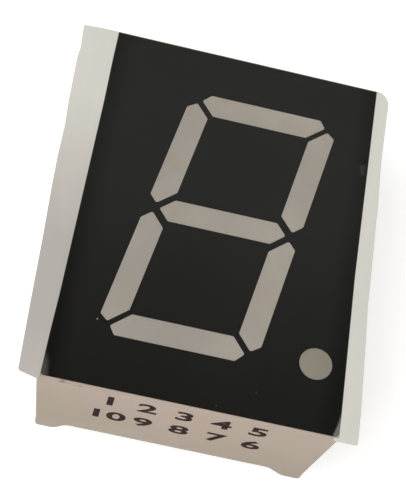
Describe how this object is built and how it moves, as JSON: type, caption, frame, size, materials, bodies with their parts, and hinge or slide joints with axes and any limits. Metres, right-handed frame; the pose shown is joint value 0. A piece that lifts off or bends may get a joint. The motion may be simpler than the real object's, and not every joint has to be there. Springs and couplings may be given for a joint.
{
  "type": "seven segment display",
  "caption": "Single digit display with slanted milky bars and a decimal point in a black printed face, in a pale plastic housing on two rows of pins, with its film on.",
  "frame": {"origin": "centre of the ten-pin pattern, on the plane of the four corner feet where a circuit board's surface lies", "axes": "+Z out of the face, +Y to the top of the digit, +X to its right; the pins point along -Z"},
  "size_m": [0.0241, 0.0282, 0.0143],
  "materials": {
    "housing": "satin moulded pale beige plastic",
    "mask_ink": "matt black screen-printed ink",
    "film": "thin clear matt protective film",
    "segment_resin": "milky diffusing resin, unlit",
    "point_resin": "milky diffusing resin, unlit, a little darker",
    "board": "glass-fibre laminate with green lacquer",
    "copper": "plated copper foil",
    "solder": "bright tin solder",
    "sealing_resin": "pale cast sealing resin",
    "die": "semiconductor die",
    "gold": "drawn gold wire",
    "pin": "tinned wire"
  },
  "bodies": {
    "root": {"reflector_housing": "housing", "face_mask": "mask_ink", "protective_film": "film", "circuit_board": "board", "copper_tracks": "copper", "solder_fillets": "solder", "back_resin": "sealing_resin", "decimal_point": "point_resin", "segment_a": "segment_resin", "segment_b": "segment_resin", "segment_c": "segment_resin", "segment_d": "segment_resin", "segment_e": "segment_resin", "segment_f": "segment_resin", "segment_g": "segment_resin", "led_die_1": "die", "led_die_2": "die", "led_die_3": "die", "led_die_4": "die", "led_die_5": "die", "led_die_6": "die", "led_die_7": "die", "led_die_8": "die", "led_die_9": "die", "led_die_10": "die", "led_die_11": "die", "led_die_12": "die", "led_die_13": "die", "led_die_14": "die", "led_die_15": "die", "bond_wire_1": "gold", "bond_wire_2": "gold", "bond_wire_3": "gold", "bond_wire_4": "gold", "bond_wire_5": "gold", "bond_wire_6": "gold", "bond_wire_7": "gold", "bond_wire_8": "gold", "bond_wire_9": "gold", "bond_wire_10": "gold", "bond_wire_11": "gold", "bond_wire_12": "gold", "bond_wire_13": "gold", "bond_wire_14": "gold", "bond_wire_15": "gold", "pin_1": "pin", "pin_2": "pin", "pin_3": "pin", "pin_4": "pin", "pin_5": "pin", "pin_6": "pin", "pin_7": "pin", "pin_8": "pin", "pin_9": "pin", "pin_10": "pin"}
  },
  "joints": []
}
